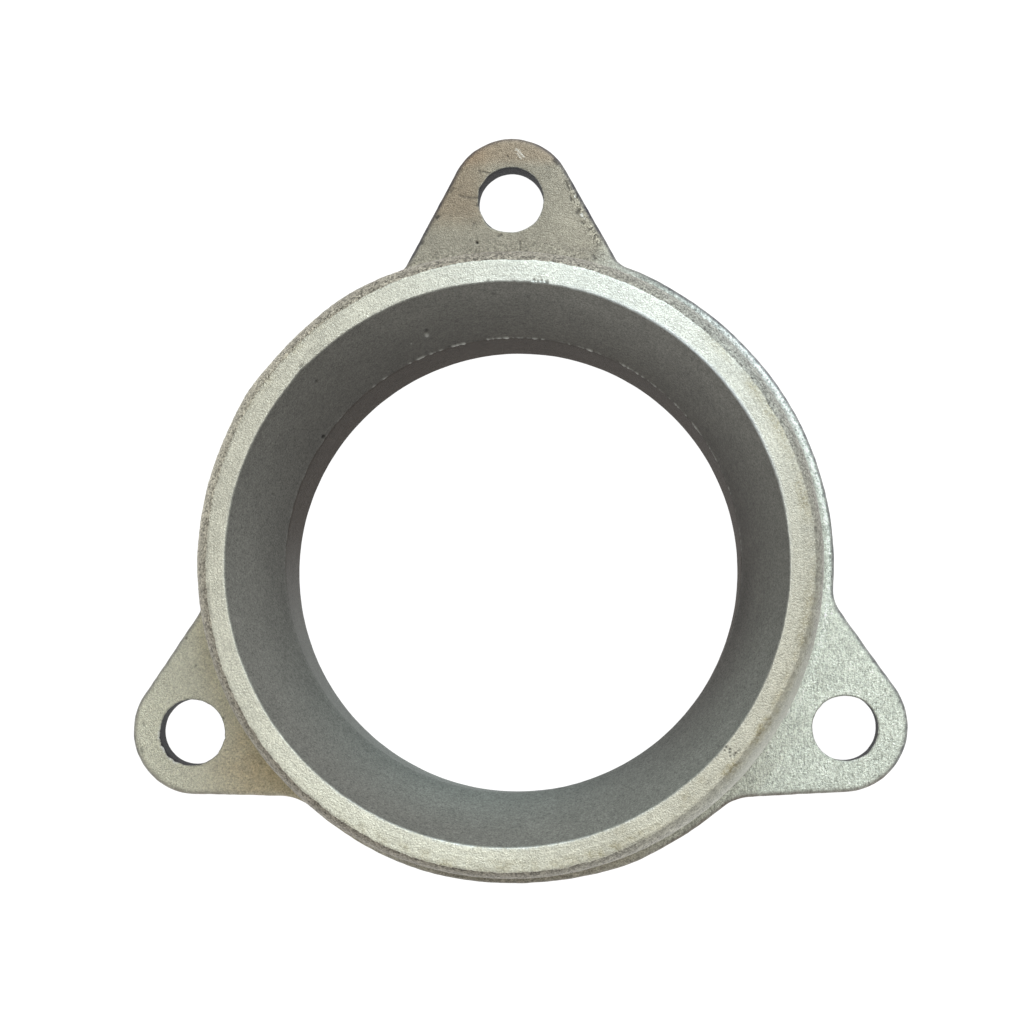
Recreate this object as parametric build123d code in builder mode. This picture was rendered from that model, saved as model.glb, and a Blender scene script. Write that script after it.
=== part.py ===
from build123d import *
import math
import os

os.makedirs("parts", exist_ok=True)

# Pump inlet flange: one casting, lying on its flat back.
# Origin on the bore axis at the back face, +Z along the bore towards the
# inlet mouth, +Y towards the single lug. Millimetres.

# flange plate
PLATE_T = 5.0            # plate and lugs
DISC_R = 43.5            # round flange between the lugs
EDGE_R = 0.8             # cast rounding of the plate's front outline
BACK_EDGE = 0.4          # broken back outline

# three lugs on one bolt circle, unevenly spaced as on the casting
BOLT_CIRCLE_R = 50.0
LUG_ANGLES = (90.0, 207.0, 333.0)
LUG_END_RS = {90.0: 8.8, 207.0: 8.6, 333.0: 8.6}  # lug ends, each centred on its hole
LUG_HALF_ANGLE = 28.5    # each lug side against the lug's own axis
LUG_ROOT_R = 5.0         # where a lug side runs into the disc
HOLE_R = 4.5             # clearance hole for an M8 screw

# collar
TOTAL_H = 25.0           # back face to mouth face
FACE_R = 38.5            # outer edge of the turned mouth face
COLLAR_R = 40.0          # collar below its rounded shoulder
SHOULDER_Z = 22.4        # where the shoulder runs into the wall
COLLAR_FOOT_R = 40.4     # wall with draft, at the root
ROOT_R = 2.0             # cast root between wall and plate

# inlet
MOUTH_R = 36.0           # mouth at the turned face
MOUTH_BREAK = 0.3        # broken mouth edge
THROAT_R = 30.5          # straight throat
THROAT_Z = 11.4          # top of the throat, where the cone ends


def lug_side(angle_deg, side):
    """Tangent point and direction of one lug side, running from its end to the disc."""
    a = math.radians(angle_deg)
    h = math.radians(LUG_HALF_ANGLE)
    cx, cy = BOLT_CIRCLE_R * math.cos(a), BOLT_CIRCLE_R * math.sin(a)
    # outward normal of the side
    n = a + side * (math.pi / 2 - h)
    end_r = LUG_END_RS[angle_deg]
    px, py = cx + end_r * math.cos(n), cy + end_r * math.sin(n)
    # direction from the lug's end towards the disc
    d = n + side * math.pi / 2
    return px, py, math.cos(d), math.sin(d)


def side_meets_disc(angle_deg, side, radius):
    px, py, dx, dy = lug_side(angle_deg, side)
    b = px * dx + py * dy
    c = px * px + py * py - radius * radius
    s = -b - math.sqrt(b * b - c)
    return px + s * dx, py + s * dy


with BuildPart() as inlet_flange:
    # plate outline: disc and three tapered lugs
    with BuildSketch(Plane.XY) as plate_outline:
        Circle(DISC_R)
        for angle in LUG_ANGLES:
            left = lug_side(angle, 1)
            right = lug_side(angle, -1)
            left_foot = side_meets_disc(angle, 1, DISC_R - 2.0)
            right_foot = side_meets_disc(angle, -1, DISC_R - 2.0)
            a = math.radians(angle)
            tip = (
                (BOLT_CIRCLE_R + LUG_END_RS[angle]) * math.cos(a),
                (BOLT_CIRCLE_R + LUG_END_RS[angle]) * math.sin(a),
            )
            with BuildLine():
                Line(left_foot, left[:2])
                ThreePointArc(left[:2], tip, right[:2])
                Line(right[:2], right_foot)
                Line(right_foot, left_foot)
            make_face()
        roots = [
            v
            for v in plate_outline.vertices()
            if abs(math.hypot(v.X, v.Y) - DISC_R) < 0.01
            and min(
                abs(v.X - q[0]) + abs(v.Y - q[1])
                for angle in LUG_ANGLES
                for q in (
                    side_meets_disc(angle, 1, DISC_R),
                    side_meets_disc(angle, -1, DISC_R),
                )
            )
            < 0.05
        ]
        fillet(roots, LUG_ROOT_R)
    extrude(amount=PLATE_T)
    fillet(inlet_flange.edges().group_by(Axis.Z)[-1], EDGE_R)
    chamfer(inlet_flange.edges().group_by(Axis.Z)[0], BACK_EDGE)

    # collar with its rounded shoulder, drafted wall and cast root
    wall_slope = (COLLAR_FOOT_R - COLLAR_R) / (SHOULDER_Z - PLATE_T)
    with BuildSketch(Plane.XZ):
        with BuildLine():
            Line((THROAT_R - 1.0, 1.0), (THROAT_R - 1.0, TOTAL_H))
            Line((THROAT_R - 1.0, TOTAL_H), (FACE_R, TOTAL_H))
            shoulder = TangentArc(
                (COLLAR_R, SHOULDER_Z), (FACE_R, TOTAL_H), tangent=(0, 1)
            )
            Line(
                (COLLAR_R, SHOULDER_Z),
                (COLLAR_R + wall_slope * (SHOULDER_Z - PLATE_T - ROOT_R), PLATE_T + ROOT_R),
            )
            TangentArc(
                (COLLAR_FOOT_R + ROOT_R, PLATE_T),
                (COLLAR_R + wall_slope * (SHOULDER_Z - PLATE_T - ROOT_R), PLATE_T + ROOT_R),
                tangent=(-1, 0),
            )
            Line((COLLAR_FOOT_R + ROOT_R, PLATE_T), (COLLAR_FOOT_R + ROOT_R, 1.0))
            Line((COLLAR_FOOT_R + ROOT_R, 1.0), (THROAT_R - 1.0, 1.0))
        make_face()
    revolve(axis=Axis.Z)

    # conical inlet and straight throat
    with BuildSketch(Plane.XZ):
        with BuildLine():
            Polyline(
                (0, -1.0),
                (THROAT_R, -1.0),
                (THROAT_R, THROAT_Z),
                (MOUTH_R - MOUTH_BREAK * 0.4, TOTAL_H - MOUTH_BREAK),
                (MOUTH_R + MOUTH_BREAK * 0.6, TOTAL_H),
                (MOUTH_R + MOUTH_BREAK * 0.6, TOTAL_H + 1.0),
                (0, TOTAL_H + 1.0),
                close=True,
            )
        make_face()
    revolve(axis=Axis.Z, mode=Mode.SUBTRACT)

    # bolt holes
    hole_places = [
        (
            BOLT_CIRCLE_R * math.cos(math.radians(angle)),
            BOLT_CIRCLE_R * math.sin(math.radians(angle)),
        )
        for angle in LUG_ANGLES
    ]
    with BuildSketch(Plane.XY):
        with Locations(*hole_places):
            Circle(HOLE_R)
    extrude(amount=PLATE_T, mode=Mode.SUBTRACT)

inlet_flange.part.label = "inlet_flange"
export_step(inlet_flange.part, "parts/inlet_flange.step")

print("solids", len(inlet_flange.part.solids()), "volume mm3", round(inlet_flange.part.volume, 1))
print("box", inlet_flange.part.bounding_box())
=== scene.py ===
import math

import bmesh
import bpy
import numpy as np
from mathutils import Matrix, Vector, noise
from mathutils.geometry import delaunay_2d_cdt


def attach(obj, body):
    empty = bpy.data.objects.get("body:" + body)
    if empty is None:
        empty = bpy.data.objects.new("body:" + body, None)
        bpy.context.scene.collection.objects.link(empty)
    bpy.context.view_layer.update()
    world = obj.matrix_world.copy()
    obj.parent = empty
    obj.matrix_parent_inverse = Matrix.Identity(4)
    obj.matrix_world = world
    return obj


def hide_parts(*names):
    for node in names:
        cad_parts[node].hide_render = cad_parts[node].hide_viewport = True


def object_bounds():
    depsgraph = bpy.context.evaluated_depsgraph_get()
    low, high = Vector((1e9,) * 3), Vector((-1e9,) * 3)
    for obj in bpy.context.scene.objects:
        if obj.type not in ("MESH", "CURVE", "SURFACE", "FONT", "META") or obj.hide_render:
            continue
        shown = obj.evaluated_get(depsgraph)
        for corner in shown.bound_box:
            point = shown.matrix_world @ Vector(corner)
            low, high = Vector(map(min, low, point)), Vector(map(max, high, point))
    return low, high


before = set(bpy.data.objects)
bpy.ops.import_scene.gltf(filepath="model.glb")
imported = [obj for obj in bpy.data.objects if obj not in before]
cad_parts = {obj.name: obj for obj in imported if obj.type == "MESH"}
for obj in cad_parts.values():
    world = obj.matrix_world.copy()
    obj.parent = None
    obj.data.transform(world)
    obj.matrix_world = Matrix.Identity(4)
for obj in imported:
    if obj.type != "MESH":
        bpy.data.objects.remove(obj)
cad_lo, cad_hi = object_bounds()

# ---------------------------------------------------------------- sizes, mm
# The same frame as the solid: origin on the bore axis at the back face, +Z
# towards the mouth, +Y towards the single lug. Angles called img run
# clockwise from +X, as seen from the mouth side.
PLATE_T = 5.0
DISC_R = 43.5
EDGE_R = 0.8
BACK_EDGE = 0.4
BOLT_R = 50.0
# each lug: angle, centre distance and radius of its cast end, the angle of
# its two sides against its axis, and the radius of their two roots
LUGS = (
    (90.0, 50.16, 8.66, 28.5, 28.5, 3.0, 1.5),
    (207.0, 49.47, 8.76, 28.6, 28.4, 3.4, 6.5),
    (333.0, 49.52, 8.92, 29.6, 28.4, 6.5, 5.0),
)
HOLE_R = 4.5
TOTAL_H = 25.0
MOUTH_R = 36.0
THROAT_R = 30.5
THROAT_Z = 11.4
ROOT_TOE_R = 42.2
N = 780  # points round every ring

# small casting offsets of the circles, from the axis
OFF_MOUTH = (-0.15, -0.32)
OFF_COLLAR = (0.10, -0.28)
OFF_EDGE = (-0.02, -0.10)
OFF_BACK = (0.10, -0.90)

TH = np.arange(N) * 2 * math.pi / N
IMG = (-np.degrees(TH)) % 360.0


def wrap(a):
    """Angle difference in degrees, between -180 and 180."""
    return (np.asarray(a) + 180.0) % 360.0 - 180.0


def bell(a_deg, at, width):
    return np.exp(-((wrap(a_deg - at) / width) ** 2))


def n1(pts, scale, seed=0.0):
    """Smooth noise at points (n, 3) in mm; scale is the feature size in mm."""
    q = np.asarray(pts) / scale + np.array([seed, -seed * 1.7, seed * 0.6])
    return np.array([noise.noise(p) for p in q.tolist()])


def ring_noise(radius, scale, seed):
    """Noise that closes on itself round a circle."""
    return n1(np.c_[radius * np.cos(TH), radius * np.sin(TH), np.full(N, seed * 13.1)], scale, seed)


def smooth(v, lo, hi):
    t = np.clip((v - lo) / (hi - lo), 0, 1)
    return t * t * (3 - 2 * t)


# ---------------------------------------------------------------- the mesh
V, F = [], []
ATTR = {}
NAMES = ("face", "shoulder", "wall", "cone", "throat", "plate", "side", "hole", "back", "rough", "lip", "flash", "rim")


def add(points, **weights):
    """Adds points and their surface weights; returns their indices."""
    start = sum(len(v) for v in V)
    pts = np.asarray(points, float).reshape(-1, 3)
    V.append(pts)
    for k in NAMES:
        w = weights.get(k, 0.0)
        ATTR.setdefault(k, []).append(np.broadcast_to(np.asarray(w, float), (len(pts),)))
    return np.arange(start, start + len(pts))


def strip(a, b, flip=False):
    """Quads between two closed rings of the same count."""
    a2, b2 = np.roll(a, -1), np.roll(b, -1)
    q = np.c_[a, a2, b2, b] if not flip else np.c_[a, b, b2, a2]
    F.extend(q.tolist())


def face_edge(th):
    """Outer edge of the turned mouth face: it wanders where the cut runs out."""
    c = (38.80, -0.062, 0.05, -0.17, 0.13, 0.009, 0.114, 0.045, 0.078, 0.08, 0.01)
    r = np.full_like(th, c[0])
    for k in range(1, 6):
        r += c[2 * k - 1] * np.cos(k * th) + c[2 * k] * np.sin(k * th)
    r += 0.36 * bell(IMG, 6, 20) + 0.20 * bell(IMG, 106, 16) - 0.12 * bell(IMG, 38, 6)
    return r - 0.25 * bell(IMG, 300, 44) + 0.07 * bell(IMG, 38, 12)


face_out = face_edge(TH) + 0.09 * ring_noise(38.8, 2.2, 3.0) + 0.10 * ring_noise(38.8, 0.8, 4.0)
mouth_in = (
    MOUTH_R
    + 0.04 * ring_noise(36, 4.0, 5.0)
    + 0.035 * ring_noise(36, 0.9, 6.0)
    + 0.15 * bell(IMG, 223.5, 2.2)
    + (0.04 + 0.13 * ring_noise(36, 0.6, 7.0)) * bell(IMG, 276, 7)
    + 0.05 * np.abs(ring_noise(36, 0.6, 7.5)) * bell(IMG, 125, 30)
)


def ring(r, z, off, **w):
    r = np.broadcast_to(np.asarray(r, float), (N,))
    z = np.broadcast_to(np.asarray(z, float), (N,))
    return add(np.c_[off[0] + r * np.cos(TH), off[1] + r * np.sin(TH), z], **w)


def mix2(a, b, t):
    return (a[0] + (b[0] - a[0]) * t, a[1] + (b[1] - a[1]) * t)


rings = []
# throat, from the back edge up
back_ring = ring(THROAT_R + 0.12, 0.0, OFF_BACK, back=1.0)
rings.append(back_ring)
# the back's own skin ends right at the edge
rings.append(ring(THROAT_R + 0.105, 0.02, OFF_BACK, throat=1.0))
rings.append(ring(THROAT_R + 0.02 - 0.30 * bell(IMG, 240, 55), 0.15, OFF_BACK, throat=1.0))
pinch = 0.30 * bell(IMG, 240, 55)  # the bore is a little flat towards the upper left
for z in np.linspace(0.9, THROAT_Z - 0.45, 13):
    t = z / THROAT_Z
    rings.append(ring(THROAT_R - pinch, z, mix2(OFF_BACK, OFF_EDGE, t), throat=1.0))
# thin broken cast ridge where the two cores met; elsewhere the edge is worn round
where = np.clip(1.35 * bell(IMG, 282, 58), 0, 1)
ridge = np.clip(0.25 + 1.3 * ring_noise(30.5, 2.0, 8.0) + 1.5 * ring_noise(30.5, 0.45, 9.0), 0.0, 1.3) * where
worn = 1.0 - where
# painted highlight: broken glints along the ridge, weighted by glint
glint = ridge * (0.62 - 0.35 * bell(IMG, 212, 14))
EDGE = THROAT_R - pinch
rings.append(ring(EDGE + 0.02 * worn, THROAT_Z - 0.30, OFF_EDGE, throat=1.0))
rings.append(ring(EDGE + 0.04 * worn, THROAT_Z - 0.16, OFF_EDGE, throat=1.0))
rings.append(
    ring(EDGE - 0.10 * ridge + 0.07 * worn, THROAT_Z - 0.04, OFF_EDGE, throat=0.8, cone=0.2, rough=1.0, flash=glint)
)
rings.append(
    ring(EDGE - 0.09 * ridge + 0.02 + 0.08 * worn, THROAT_Z + 0.06, OFF_EDGE, throat=0.4, cone=0.6, rough=1.0, flash=glint)
)
rings.append(ring(EDGE + 0.08 + 0.05 * worn, THROAT_Z + 0.20, OFF_EDGE, throat=0.1, cone=0.9, rough=0.2, flash=glint * 0.4))


def cone_r(z):
    """Cone, a little hollow between throat and mouth."""
    t = (z - THROAT_Z) / (TOTAL_H - THROAT_Z)
    return THROAT_R + (MOUTH_R - THROAT_R) * t - 0.12 * np.sin(math.pi * t) - pinch * (1 - t) ** 2


rings.append(ring(cone_r(THROAT_Z + 0.45) + 0.02, THROAT_Z + 0.45, OFF_EDGE, cone=1.0))
for z in np.linspace(THROAT_Z + 0.8, TOTAL_H - 0.75, 26):
    t = (z - THROAT_Z) / (TOTAL_H - THROAT_Z)
    rings.append(ring(cone_r(z), z, mix2(OFF_EDGE, OFF_MOUTH, t), cone=1.0))
rings.append(ring(cone_r(TOTAL_H - 0.3) + (mouth_in - MOUTH_R) * 0.8, TOTAL_H - 0.30, OFF_MOUTH, cone=1.0))
rings.append(ring(mouth_in - 0.02, TOTAL_H - 0.10, OFF_MOUTH, cone=0.6, face=0.4, lip=0.6))
rings.append(ring(mouth_in + 0.05, TOTAL_H - 0.01, OFF_MOUTH, face=1.0, lip=1.0))
# turned mouth face
inner = np.c_[OFF_MOUTH[0] + (mouth_in + 0.18) * np.cos(TH), OFF_MOUTH[1] + (mouth_in + 0.18) * np.sin(TH)]
outer = np.c_[OFF_COLLAR[0] + (face_out - 0.05) * np.cos(TH), OFF_COLLAR[1] + (face_out - 0.05) * np.sin(TH)]
for i, t in enumerate(np.linspace(0, 1, 9)):
    xy = inner + (outer - inner) * t
    rings.append(add(np.c_[xy, np.full(N, TOTAL_H)], face=1.0, lip=(0.5 if i == 0 else 0.0)))
# cast shoulder, left rough where the cut stopped
SH_R, SH_Z = 40.20, 22.4
bulge = 0.30 * bell(IMG, 241, 9) + 0.18 * bell(IMG, 214, 4.5) + 0.06 * ring_noise(40, 5.0, 14.0)
for i, t in enumerate(np.linspace(0.0, 1.0, 10)):
    # mostly a sloping cast edge, turning down into the wall at its foot
    r = face_out + (SH_R + bulge - face_out) * math.sin(t * math.pi / 2) ** 0.85
    z = TOTAL_H - 0.03 - (TOTAL_H - 0.03 - SH_Z) * t**1.25
    # towards the lower right the cut blends softly into the cast edge
    soft = np.clip(1.1 * bell(IMG, 26, 28), 0, 1)
    near = soft * max(0.0, 1.0 - t * 2.8)
    rings.append(ring(r, z, OFF_COLLAR, face=near, shoulder=1.0 - near, rough=(0.45 if i == 0 else 1.0) * (1 - 0.75 * soft)))
# drafted wall
FOOT_R = 40.45
lump = bell(IMG, 38, 20) * (0.30 * ring_noise(40, 2.6, 15.0) + 0.16 * ring_noise(40, 1.0, 16.0))
for z in np.linspace(SH_Z - 1.2, PLATE_T + 2.6, 11):
    t = (SH_Z - z) / (SH_Z - PLATE_T)
    rings.append(ring(SH_R + bulge * (1 - t) + (FOOT_R - SH_R + lump) * t, z, OFF_COLLAR, wall=1.0, rough=0.7))
# cast root
for a in np.radians([0, 18, 38, 58, 76]):
    rings.append(
        ring(
            FOOT_R + lump * math.cos(a) + 1.75 * (1 - math.cos(a)),
            PLATE_T + 1.75 * (1 - math.sin(a)),
            OFF_COLLAR,
            wall=1.0 - math.degrees(a) / 90.0,
            plate=math.degrees(a) / 90.0,
            rough=0.6,
        )
    )
toe_ring = ring(ROOT_TOE_R, PLATE_T, OFF_COLLAR, plate=1.0, rough=0.4)
rings.append(toe_ring)
for a, b in zip(rings[:-1], rings[1:]):
    strip(a, b, flip=True)


# plate outline: disc, lug roots, lug sides and lug ends
def outline(ds):
    pts, nrm = [], []

    def arc(cx, cy, r, a0, a1, sign):
        n = max(2, int(abs(a1 - a0) * r / ds))
        for i in range(n):
            a = a0 + (a1 - a0) * i / n
            pts.append((cx + r * math.cos(a), cy + r * math.sin(a)))
            nrm.append((sign * math.cos(a), sign * math.sin(a)))

    def line(p, q, n_):
        k = max(2, int(math.dist(p, q) / ds))
        for i in range(k):
            t = i / k
            pts.append((p[0] + (q[0] - p[0]) * t, p[1] + (q[1] - p[1]) * t))
            nrm.append(n_)

    def root(q, radius, start, end):
        a0 = math.atan2(start[1] - q[1], start[0] - q[0])
        a1 = math.atan2(end[1] - q[1], end[0] - q[0])
        while a1 > a0:
            a1 -= 2 * math.pi
        if a0 - a1 > math.pi:
            a1 += 2 * math.pi
        arc(q[0], q[1], radius, a0, a1, -1)

    parts = []
    for ang, reach, end_r, half_a, half_b, root_a, root_b in LUGS:
        a = math.radians(ang)
        c = (reach * math.cos(a), reach * math.sin(a))
        sides = []
        for side, half, rt in ((-1, half_a, root_a), (1, half_b, root_b)):
            na = a + side * math.radians(90 - half)
            n_ = (math.cos(na), math.sin(na))
            p = (c[0] + end_r * n_[0], c[1] + end_r * n_[1])
            d = (math.cos(na + side * math.pi / 2), math.sin(na + side * math.pi / 2))
            q0 = (p[0] + rt * n_[0], p[1] + rt * n_[1])
            rr = DISC_R + rt
            b = q0[0] * d[0] + q0[1] * d[1]
            cc = q0[0] ** 2 + q0[1] ** 2 - rr * rr
            s = -b - math.sqrt(b * b - cc)
            q = (q0[0] + s * d[0], q0[1] + s * d[1])  # centre of the root arc
            on_line = (q[0] - rt * n_[0], q[1] - rt * n_[1])
            on_disc = (q[0] * DISC_R / rr, q[1] * DISC_R / rr)
            sides.append((p, n_, na, q, on_line, on_disc, rt))
        parts.append((c, end_r, sides))
    for i, (c, end_r, (right, left)) in enumerate(parts):
        p, n_, na, q, on_line, on_disc, rt = right
        root(q, rt, on_disc, on_line)
        line(on_line, p, n_)
        arc(c[0], c[1], end_r, na, left[2], 1)
        p, n_, na, q, on_line, on_disc, rt = left
        line(p, on_line, n_)
        root(q, rt, on_line, on_disc)
        nxt = parts[(i + 1) % 3][2][0][5]
        b0 = math.atan2(on_disc[1], on_disc[0])
        b1 = math.atan2(nxt[1], nxt[0])
        while b1 < b0:
            b1 += 2 * math.pi
        arc(0, 0, DISC_R, b0, b1, 1)
    return np.array(pts), np.array(nrm)


OP, ON = outline(0.40)
NO = len(OP)
o3 = np.c_[OP, np.zeros(NO)]
wob = 0.5 + 0.5 * n1(o3, 3.0, 11.0)  # slow wander of the cast outline, always inwards
fine = np.clip(n1(o3, 0.8, 12.0), 0, 1)
OIMG = (-np.degrees(np.arctan2(OP[:, 1], OP[:, 0]))) % 360.0
swell = (np.hypot(OP[:, 0], OP[:, 1]) < 43.9) * (
    0.24 * bell(OIMG, 109, 13) + 0.20 * bell(OIMG, 70, 6) + 0.12 * bell(OIMG, 294, 5) - 0.08 * bell(OIMG, 316, 10)
)


def outline_ring(inset, z, **w):
    xy = OP - ON * (inset + 0.04 * wob - swell)[:, None]
    return add(np.c_[xy, np.full(NO, z)], **w)


edge_rings = []
for i, a in enumerate(np.radians([0, 20, 40, 60, 78, 90])):
    edge_rings.append(
        outline_ring(
            EDGE_R * (1 - math.sin(a)) + 0.12 * fine * (1 if i in (1, 2, 3) else 0.3),
            PLATE_T - EDGE_R * (1 - math.cos(a)),
            plate=1.0 - i / 5,
            side=i / 5,
            rough=1.0,
            rim=(0, 0.15, 0.9, 1, 1, 1)[i],
        )
    )
for z in (3.4, 2.5, 1.6, 0.9):
    edge_rings.append(outline_ring(0.03 * fine, z, side=1.0, rough=0.8, rim=(1.0 if z > 3 else 0.4)))
edge_rings.append(outline_ring(0.04 + 0 * fine, BACK_EDGE, side=1.0, rough=0.5))
edge_rings.append(outline_ring(BACK_EDGE + 0 * fine, 0.0, back=1.0, rough=0.2))
for a, b in zip(edge_rings[:-1], edge_rings[1:]):
    strip(b, a)

# bolt holes with uneven cast edges
NH = 160
PH = np.arange(NH) * 2 * math.pi / NH
PHI = (-np.degrees(PH)) % 360.0
hole_front, hole_back = [], []
for k, (ang, *_rest) in enumerate(LUGS):
    a = math.radians(ang)
    hx, hy = BOLT_R * math.cos(a), BOLT_R * math.sin(a) + (0.18, 0.0, 0.0)[k]
    hp = np.c_[4.5 * np.cos(PH), 4.5 * np.sin(PH), np.full(NH, 7.7 * k)]
    bite = 0.04 * n1(hp, 1.6, 20.0 + k) + 0.05 * n1(hp, 0.5, 30.0 + k)
    burr_glint = np.zeros(NH)
    if k == 0:  # squarish, with its lower left corner opened out
        bite += 0.24 * bell(PHI, 130, 14) + 0.14 * bell(PHI, 200, 9) + 0.10 * bell(PHI, 38, 12)
        bite += 0.05 * bell(PHI, 232, 8)
    elif k == 1:  # chipped towards the lower left
        bite += 0.16 * bell(PHI, 121, 3.5) + 0.08 * bell(PHI, 140, 7) - 0.14 * bell(PHI, 190, 20)
        bite += 0.14 * bell(PHI, 10, 2) + 0.12 * bell(PHI, 40, 2)
        bite -= 0.10 * bell(PHI, 152, 3)
        bite += 0.16 * np.abs(n1(hp, 0.4, 41.0)) * bell(PHI, 165, 45) * 2
        burr_glint = bell(PHI, 152, 4.5) + 0.9 * bell(PHI, 133, 10) + 0.8 * bell(PHI, 118, 3) + 0.6 * bell(PHI, 178, 12)
    else:
        bite += -0.10 + 0.08 * bell(PHI, 52, 8) - 0.08 * bell(PHI, 265, 30)
        burr_glint = 0.45 * bell(PHI, 55, 26)
    bite = np.clip(bite, -0.22, 0.6)
    # each burr is raised a little and carries a painted highlight along it
    burr_glint = np.clip(np.clip(burr_glint, 0, 1) * (0.75 + 2.6 * n1(hp, 0.45, 43.0)), 0, 1.2)
    rr = []

    def hring(r, z, **w):
        # the cored hole leans a little outwards towards the back
        r, z = np.broadcast_to(r, (NH,)), np.broadcast_to(z, (NH,))
        t = np.clip(1 - z / PLATE_T, 0, 1)
        lx, ly = ((-0.12, 0.0), (-0.20, -0.10), (0.13, -0.11))[k]
        return add(np.c_[hx + lx * t + r * np.cos(PH), hy + ly * t + r * np.sin(PH), z], **w)

    rr.append(hring(HOLE_R + 0.34 + bite, PLATE_T, plate=1.0, rough=0.6))
    rr.append(hring(HOLE_R + 0.22 + bite, PLATE_T + 0.08 * burr_glint, plate=1.0, rough=0.8, flash=burr_glint))
    rr.append(hring(HOLE_R + 0.05 + bite, PLATE_T - 0.05 + 0.05 * burr_glint, plate=0.6, hole=0.4, rough=1.0, flash=burr_glint))
    rr.append(hring(HOLE_R + 0.01 + bite * 0.9, PLATE_T - 0.22, hole=1.0, rough=1.0))
    rr.append(hring(HOLE_R + bite * 0.45, PLATE_T - 0.7, hole=1.0, rough=0.6))
    for z in (3.6, 2.8, 2.0, 1.2, 0.6):
        rr.append(hring(HOLE_R + 0.02 * n1(hp, 1.2, 50.0 + z), z, hole=1.0, rough=0.4))
    rr.append(hring(HOLE_R + 0.03, 0.15, hole=1.0))
    rr.append(hring(HOLE_R + 0.16, 0.0, back=1.0))
    for p_, q_ in zip(rr[:-1], rr[1:]):
        strip(p_, q_)
    hole_front.append(rr[0])
    hole_back.append(rr[-1])


def inside(poly, pts):
    """Even-odd test of points against a closed polygon."""
    x, y = pts[:, 0], pts[:, 1]
    res = np.zeros(len(pts), bool)
    x0, y0 = poly[:, 0], poly[:, 1]
    x1, y1 = np.roll(x0, -1), np.roll(y0, -1)
    for i in range(len(poly)):
        cross = (y0[i] > y) != (y1[i] > y)
        if cross.any():
            xi = (x1[i] - x0[i]) * (y[cross] - y0[i]) / (y1[i] - y0[i]) + x0[i]
            idx = np.where(cross)[0]
            res[idx] ^= x[idx] < xi
    return res


def fill(outer_idx, inner_idx, hole_idx, z, spacing, up, **w):
    """Triangulated flat region between closed rings, sharing their points."""
    allv = np.concatenate(V)
    loops = [outer_idx, inner_idx] + list(hole_idx)
    polys = [allv[i][:, :2] for i in loops]
    lo, hi = polys[0].min(0), polys[0].max(0)
    gx = np.arange(lo[0], hi[0], spacing)
    gy = np.arange(lo[1], hi[1], spacing * 0.866)
    grid = np.array([(x + (spacing / 2 if j % 2 else 0), y) for j, y in enumerate(gy) for x in gx])
    grid = grid[inside(polys[0], grid)]
    for p in polys[1:]:
        grid = grid[~inside(p, grid)]
    g3 = np.c_[grid, np.zeros(len(grid))]
    grid = grid + np.c_[n1(g3, 0.7, 61.0), n1(g3, 0.7, 62.0)] * spacing * 0.25
    # stay clear of the boundary points
    edge = np.concatenate(polys)
    near = np.zeros(len(grid), bool)
    for s in range(0, len(grid), 2000):
        g = grid[s : s + 2000]
        d = np.sqrt(((g[:, None, :] - edge[None, :, :]) ** 2).sum(-1)).min(1)
        near[s : s + 2000] = d < spacing * 0.55
    grid = grid[~near]
    new = add(np.c_[grid, np.full(len(grid), z)], **w)
    ids = np.concatenate([*loops, new])
    co = [Vector(c) for c in np.concatenate([edge, grid])]
    edges, s = [], 0
    for p in polys:
        n = len(p)
        edges += [(s + i, s + (i + 1) % n) for i in range(n)]
        s += n
    vo, _, fo, orig, _, _ = delaunay_2d_cdt(co, edges, [], 0, 1e-7)
    vo = np.array([tuple(v) for v in vo])
    back = [o[0] if o else -1 for o in orig]
    fo = np.array(fo)
    cen = vo[fo].mean(1)
    ok = inside(polys[0], cen)
    for p in polys[1:]:
        ok &= ~inside(p, cen)
    for f in fo[ok]:
        t = [int(ids[back[i]]) for i in f]
        p = vo[f]
        area = (p[1][0] - p[0][0]) * (p[2][1] - p[0][1]) - (p[2][0] - p[0][0]) * (p[1][1] - p[0][1])
        if abs(area) < 1e-9:
            continue
        if (area > 0) != up:
            t.reverse()
        F.append(t)


fill(edge_rings[0], toe_ring, hole_front, PLATE_T, 0.40, True, plate=1.0, rough=0.35)
fill(edge_rings[-1], back_ring, hole_back, 0.0, 1.3, False, back=1.0)

verts = np.concatenate(V)
mesh = bpy.data.meshes.new("inlet_flange_cast")
mesh.from_pydata(verts.tolist(), [], F)
for k in NAMES:
    mesh.attributes.new(k, "FLOAT", "POINT").data.foreach_set("value", np.concatenate(ATTR[k]).astype(np.float32))
mesh.update()
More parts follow.
